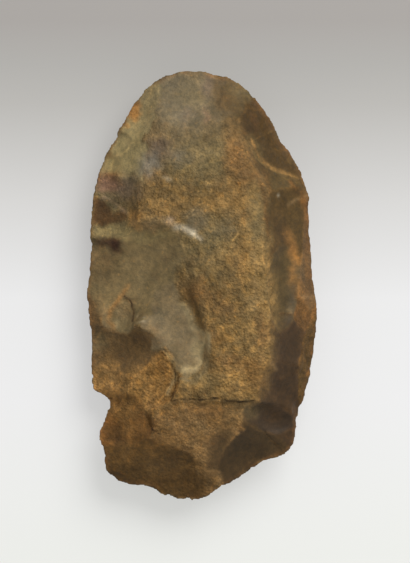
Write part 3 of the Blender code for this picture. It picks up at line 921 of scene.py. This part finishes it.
def carve_stone(stone):
    """Draws the fine mesh to the smooth scars, adds crust, ledges and wear, and paints each point."""
    mesh = stone.data
    edges = edges_of(mesh)
    points = points_of(mesh)
    normals = normals_of(mesh)
    paint = np.zeros((len(points), 5))
    wear = np.zeros(len(points))
    grid = points / GRID
    is_upper = points[:, 2] > margin_height(grid[:, 0], grid[:, 1]) * GRID[2] - 0.5 * normals[:, 2]
    for side, paint_face in ((1, paint_upper), (-1, paint_under)):
        here = np.flatnonzero(is_upper if side > 0 else ~is_upper)
        face, first, border, turn, table = face_of_scars(grid[here], side)
        off = face * GRID[2] - points[here, 2]
        above = side * (points[here, 2] - margin_height(grid[here, 0], grid[here, 1]) * GRID[2])
        draw = blend(*DRAWN_ABOVE, above) * blend(*DRAWN_OFF, np.abs(off))
        draw = draw * blend(*DRAWN_LEVEL, side * normals[here, 2])
        if side < 0:
            draw = draw * blend(*DRAWN_LIFT, points[here, 2])
        points[here, 2] += draw * off
        mixed = 1.2 + 5.0 * blend(26, 16, points[here, 0])
        stray = wandering(rough_grain, points[here], 4.5, (31, 37))
        x, y = grid[here, 0] + mixed * stray[:, 0], grid[here, 1] + mixed * stray[:, 1]
        large = [row for row in table if row[0][-1]]
        paint[here] = paint_face(points[here], all_heights(x, y, side, large).argmin(axis=0), large)
        wear[here] = np.exp(-((border / 0.55) ** 2)) * blend(0.12, 0.5, turn)
    points = smoothed(points, edges, *MESH_SMOOTHING)
    points = smoothed(points, edges, SOFT_SMOOTHING[0], SOFT_SMOOTHING[1] * soft_share(points))
    rest = blend(0.05, 0.8, points[:, 2])
    put_points(mesh, points)
    normals = normals_of(mesh)
    paint = weathered(points, smoothed_paint(paint, edges))
    crust = paint[:, 3]
    lumps = COARSE_LUMPS * (rough_grain(points, 3.6, 3) - 0.5) + FINE_LUMPS * (grain(points, 1.4, 8) - 0.5)
    pits = -PITS * blend(0.62, 0.8, grain(points, 2.1, 12))
    terraces = 6 * rough_grain(points, 9, 15)
    terraces = TERRACES * (blend(0.35, 0.65, terraces % 1) - terraces % 1)
    calm = SWELL * (rough_grain(points, 10, 21) - 0.5) + FINE_SWELL * (grain(points, 2.2, 27) - 0.5)
    height = crust * (lumps + pits + terraces) + calm
    height -= WEAR * wear * grain(points, 1.6, 33)
    height -= blend(0.2, 0.6, normals[:, 2]) * ledge_drop(points)
    points = points + (rest * height)[:, None] * normals
    middle = margin_height(points[:, 0] / GRID[0], points[:, 1] / GRID[1]) * GRID[2]
    edge = np.exp(-(((points[:, 2] - middle) / 1.5) ** 2))
    points[:, :2] += (MARGIN_LOSS * edge)[:, None] * normals[:, :2]
    put_points(mesh, points)
    return paint, wear, points


def smoothed_paint(paint, edges):
    return np.stack([smoothed(column, edges, *PAINT_SMOOTHING) for column in paint.T], axis=1)


def keep_values(mesh, name, values):
    """Stores a number at each point, for the material to read."""
    attribute = mesh.attributes.new(name, "FLOAT", "POINT")
    attribute.data.foreach_set("value", values.astype(np.float32))


def keep_colours(mesh, name, colours):
    attribute = mesh.attributes.new(name, "FLOAT_COLOR", "POINT")
    full = np.concatenate([colours, np.ones((len(colours), 1))], axis=1)
    attribute.data.foreach_set("color", full.astype(np.float32).ravel())


class Nodes:
    """Short ways to lay out a material's nodes."""

    def __init__(self, name):
        self.material = bpy.data.materials.new(name)
        self.material.use_nodes = True
        self.tree = self.material.node_tree
        self.shader = self.tree.nodes["Principled BSDF"]
        self.place = self.add("ShaderNodeTexCoord").outputs["Object"]

    def add(self, kind, **settings):
        node = self.tree.nodes.new(kind)
        for key, value in settings.items():
            setattr(node, key, value)
        return node

    def plug(self, source, socket):
        if hasattr(source, "links"):
            self.tree.links.new(source, socket)
        else:
            socket.default_value = source

    def kept(self, name, output="Fac"):
        return self.add("ShaderNodeAttribute", attribute_name=name).outputs[output]

    def stretched(self, scale, turn):
        mapping = self.add("ShaderNodeMapping")
        self.plug(self.place, mapping.inputs["Vector"])
        mapping.inputs["Scale"].default_value = scale
        mapping.inputs["Rotation"].default_value = (0, 0, math.radians(turn))
        return mapping.outputs["Vector"]

    def noise(self, size, detail, roughness=0.55, place=None):
        """Noise with lumps of about the size given, in millimetres."""
        node = self.add("ShaderNodeTexNoise")
        self.plug(place or self.place, node.inputs["Vector"])
        node.inputs["Scale"].default_value = METRE / size
        node.inputs["Detail"].default_value = detail
        node.inputs["Roughness"].default_value = roughness
        return node.outputs["Fac"]

    def cells(self, size):
        node = self.add("ShaderNodeTexVoronoi")
        self.plug(self.place, node.inputs["Vector"])
        node.inputs["Scale"].default_value = METRE / size
        return node.outputs["Distance"]

    def span(self, value, low, high, to_low=0.0, to_high=1.0):
        node = self.add("ShaderNodeMapRange", interpolation_type="SMOOTHSTEP")
        self.plug(value, node.inputs["Value"])
        for socket, number in zip(("From Min", "From Max", "To Min", "To Max"), (low, high, to_low, to_high)):
            node.inputs[socket].default_value = number
        return node.outputs["Result"]

    def sum(self, operation, *terms):
        node = self.add("ShaderNodeMath", operation=operation)
        for term, socket in zip(terms, node.inputs):
            self.plug(term, socket)
        return node.outputs[0]

    def tinted(self, colour, share, factors):
        """The colour, with its red, green and blue multiplied by the factors where the share is 1."""
        node = self.add("ShaderNodeVectorMath", operation="MULTIPLY")
        self.plug(colour, node.inputs[0])
        node.inputs[1].default_value = factors
        return self.mix(share, colour, node.outputs[0])

    def mix(self, share, first, second):
        node = self.add("ShaderNodeMix", data_type="RGBA")
        self.plug(share, node.inputs["Factor"])
        self.plug(first, node.inputs["A"])
        self.plug(second, node.inputs["B"])
        return node.outputs["Result"]

    def bump(self, height, depth):
        node = self.add("ShaderNodeBump")
        node.inputs["Distance"].default_value = depth / METRE
        self.plug(height, node.inputs["Height"])
        return node.outputs["Normal"]


def flint_finish():
    """Patinated flint: satin in the scars, granular and flecked on the crust with painted glints on its
    grains, pale along worn ridges, with painted highlight on hairline ridges and painted shade in hairline
    cracks.
    """
    nodes = Nodes("patinated_flint")
    crust = nodes.kept("crust")
    shine = nodes.kept("shine")
    wear = nodes.kept("wear")
    colour = nodes.kept("patina", "Color")
    lumpy = nodes.noise(2.5, 6, 0.66, nodes.stretched((1, 0.65, 1), 38))
    ochre = nodes.sum("MULTIPLY", nodes.span(lumpy, 0.50, 0.66), crust)
    colour = nodes.tinted(colour, nodes.sum("MULTIPLY", ochre, 0.8), OCHRE_LUMPS)
    hollow = nodes.sum("MULTIPLY", nodes.span(lumpy, 0.50, 0.36), crust)
    colour = nodes.tinted(colour, nodes.sum("MULTIPLY", hollow, 0.8), DARK_HOLLOWS)
    clustered = nodes.sum("MULTIPLY", nodes.span(nodes.noise(5.5, 3), 0.47, 0.62), crust)
    # Bright flecks on the crust: partly pale grains, partly painted glints on the grain tips
    flecks_and_glints = nodes.sum("MULTIPLY", nodes.span(nodes.noise(0.9, 3, 0.6), 0.58, 0.70), clustered)
    colour = nodes.tinted(colour, nodes.sum("MULTIPLY", flecks_and_glints, 0.9), BRIGHT_FLECKS_AND_GLINTS)
    faint = nodes.span(nodes.noise(1.5, 5, 0.7), 0.38, 0.62)
    colour = nodes.tinted(colour, faint, FAINT_FLECKS)
    speck = nodes.span(nodes.noise(1.6, 2, 0.5), 0.66, 0.72, 0, 0.6)
    colour = nodes.tinted(colour, speck, WARM_SPECKS)
    vein = nodes.span(nodes.noise(6, 6, 0.7), 0.55, 0.60, 0, 0.7)
    colour = nodes.tinted(colour, vein, DARK_VEINS)
    rubbed = nodes.sum("MULTIPLY", wear, nodes.span(nodes.noise(3.1, 4), 0.40, 0.62, 0.10, 0.75))
    colour = nodes.tinted(colour, rubbed, RUBBED_BORDERS)
    uneven = nodes.span(nodes.noise(2.6, 3), 0.35, 0.6, 0.35, 1.0)
    # Pale hairline ridges: partly wear, partly painted highlight
    ridge_wear_and_highlight = nodes.sum("MULTIPLY", nodes.span(nodes.kept("hair_ridge_wear_and_highlight"), 0.15, 0.50, 1, 0), uneven)
    colour = nodes.tinted(colour, ridge_wear_and_highlight, PALE_HAIRLINE_WEAR_AND_HIGHLIGHT)
    # Painted shade along the hairline cracks and under small steps
    crack_shade_line = nodes.sum("MULTIPLY", nodes.span(nodes.kept("crack_shade"), 0.12, 0.48, 1, 0), uneven)
    colour = nodes.tinted(colour, crack_shade_line, SHADED_HAIRLINES)
    nodes.plug(colour, nodes.shader.inputs["Base Color"])
    dull = nodes.span(nodes.noise(1.1, 3), 0.3, 0.7, -0.07, 0.07)
    base = nodes.span(shine, 0, 1, 0.88, 0.52)
    nodes.plug(nodes.sum("ADD", base, dull), nodes.shader.inputs["Roughness"])
    grit = nodes.sum("MULTIPLY", nodes.sum("ADD", nodes.noise(0.8, 4, 0.65), nodes.cells(1.1)), crust)
    fine = nodes.sum("MULTIPLY", nodes.noise(0.4, 3, 0.6), 0.15)
    normal = nodes.bump(nodes.sum("ADD", grit, fine), 0.55)
    nodes.plug(normal, nodes.shader.inputs["Normal"])
    nodes.shader.inputs["Specular IOR Level"].default_value = 0.2
    return nodes.material


def make_stone():
    stone = fine_copy(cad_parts["flint_axe"])
    paint, wear, points = carve_stone(stone)
    keep_colours(stone.data, "patina", np.clip(paint[:, :3], 0, 1))
    keep_values(stone.data, "crust", paint[:, 3])
    keep_values(stone.data, "shine", paint[:, 4])
    keep_values(stone.data, "wear", wear)
    # Distances for the painted shade of the cracks and the painted highlight of the hairline ridges
    keep_values(stone.data, "crack_shade", hairline_distance(points, SHADED_CRACKS))
    keep_values(stone.data, "hair_ridge_wear_and_highlight", hairline_distance(points, WORN_AND_LIT_HAIR_RIDGES))
    stone.data.materials.clear()
    stone.data.materials.append(flint_finish())
    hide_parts("flint_axe")
    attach(stone, "root")


def make_floor():
    """A pale floor that partly glows, a painted light that keeps the shadow faint, with painted shade darker
    beyond the cutting end.
    """
    bpy.ops.mesh.primitive_plane_add(size=4, location=(0, 0, 0))
    floor = bpy.context.object
    floor.name = "paper"
    nodes = Nodes("glowing_shaded_paper")
    apart = nodes.add("ShaderNodeSeparateXYZ")
    nodes.plug(nodes.place, apart.inputs[0])
    ramp = nodes.add("ShaderNodeValToRGB")
    along = nodes.add("ShaderNodeMapRange")
    nodes.plug(apart.outputs["Y"], along.inputs["Value"])
    along.inputs["From Min"].default_value = -FLOOR_REACH
    along.inputs["From Max"].default_value = FLOOR_REACH
    nodes.plug(along.outputs["Result"], ramp.inputs["Fac"])
    # The ramp paints shade onto the floor, darker towards beyond the cutting end
    while len(ramp.color_ramp.elements) < len(FLOOR_PAINTED_SHADE):
        ramp.color_ramp.elements.new(0.5)
    for element, (where, colour) in zip(ramp.color_ramp.elements, FLOOR_PAINTED_SHADE):
        element.position = where
        element.color = (*from_screen(colour), 1)
    nodes.plug(nodes.tinted(ramp.outputs["Color"], 1.0, (FLOOR_LIT,) * 3), nodes.shader.inputs["Base Color"])
    # The floor's glow is painted light that keeps the stone's shadow faint
    nodes.plug(ramp.outputs["Color"], nodes.shader.inputs["Emission Color"])
    nodes.shader.inputs["Emission Strength"].default_value = FLOOR_GLOW
    nodes.shader.inputs["Roughness"].default_value = 0.9
    floor.data.materials.append(nodes.material)


def light_scene():
    """A soft window, turned to the middle of the stone, in a room of even light."""
    lamp = bpy.data.lights.new("window", "AREA")
    lamp.shape = "DISK"
    lamp.size = WINDOW_SIZE
    lamp.energy = WINDOW_POWER
    window = bpy.data.objects.new("window", lamp)
    bpy.context.scene.collection.objects.link(window)
    x, y, z = WINDOW_PLACE
    window.location = WINDOW_PLACE
    window.rotation_euler = (math.atan2(math.hypot(x, y), z), 0, math.atan2(-y, -x) - math.pi / 2)
    world = bpy.data.worlds.new("studio")
    bpy.context.scene.world = world
    world.use_nodes = True
    backdrop = world.node_tree.nodes["Background"]
    backdrop.inputs["Color"].default_value = (1, 1, 1, 1)
    backdrop.inputs["Strength"].default_value = ROOM_LIGHT
    bpy.context.scene.view_settings.view_transform = "Standard"


def aim_camera():
    """Straight down on the lying stone, framed as the photograph is."""
    camera = bpy.data.cameras.new("camera")
    camera.sensor_fit = "VERTICAL"
    camera.sensor_height = SENSOR
    camera.sensor_width = SENSOR
    camera.lens = SENSOR * CAMERA_DISTANCE / FRAME_LONG
    holder = bpy.data.objects.new("camera", camera)
    holder.location = np.array((*CAMERA_PLACE, CAMERA_DISTANCE + EDGE_HEIGHT)) / METRE
    bpy.context.scene.collection.objects.link(holder)
    bpy.context.scene.camera = holder


make_stone()
make_floor()
light_scene()
aim_camera()
